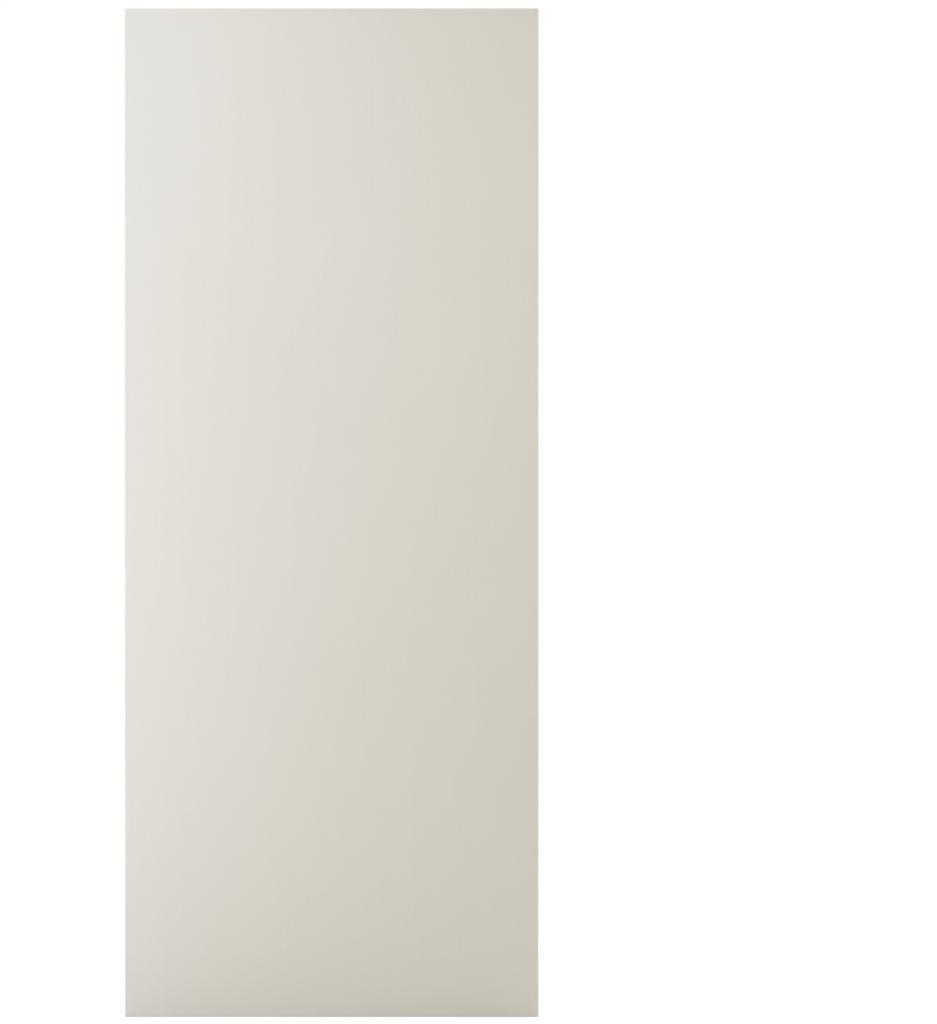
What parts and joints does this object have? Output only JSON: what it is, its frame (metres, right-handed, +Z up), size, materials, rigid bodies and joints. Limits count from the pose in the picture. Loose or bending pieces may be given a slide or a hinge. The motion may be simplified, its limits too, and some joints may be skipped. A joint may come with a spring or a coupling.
{
  "type": "interior door leaf",
  "caption": "Plain flush interior door leaf: two thin off-white hardboard skins over a softwood frame with lock blocks and a six-sided cellular board core.",
  "frame": {"origin": "on the outer face of the hinge edge, at the foot of the leaf, half way through its thickness", "axes": "+X across the leaf from the hinge edge to the lock edge, +Z up the leaf, -Y out of the front skin, +Y out of the back skin"},
  "size_m": [0.813, 0.035, 1.981],
  "materials": {
    "primed_hardboard": "satin off-white primer on hardboard, raw brown at the sawn edge",
    "softwood": "planed, unfinished",
    "kraft_board": "plain brown kraft"
  },
  "bodies": {
    "root": {"front_skin": "primed_hardboard", "back_skin": "primed_hardboard", "hinge_stile": "softwood", "lock_stile": "softwood", "top_rail": "softwood", "bottom_rail": "softwood", "hinge_side_lock_block": "softwood", "lock_side_lock_block": "softwood", "honeycomb_strips_01_03": "kraft_board", "honeycomb_strips_02_04": "kraft_board", "honeycomb_strips_05_07": "kraft_board", "honeycomb_strips_06_08": "kraft_board", "honeycomb_strips_09_11": "kraft_board", "honeycomb_strips_10_12": "kraft_board", "honeycomb_strips_13_15": "kraft_board", "honeycomb_strips_14_16": "kraft_board", "honeycomb_strips_17_19": "kraft_board", "honeycomb_strips_18_20": "kraft_board", "honeycomb_strips_21_23": "kraft_board", "honeycomb_strips_22_24": "kraft_board", "honeycomb_strips_25_27": "kraft_board", "honeycomb_strips_26_28": "kraft_board", "honeycomb_strips_29_31": "kraft_board", "honeycomb_strips_30_32": "kraft_board", "honeycomb_strips_33_35": "kraft_board", "honeycomb_strips_34_36": "kraft_board", "honeycomb_strips_37_39": "kraft_board", "honeycomb_strips_38_40": "kraft_board"}
  },
  "joints": []
}
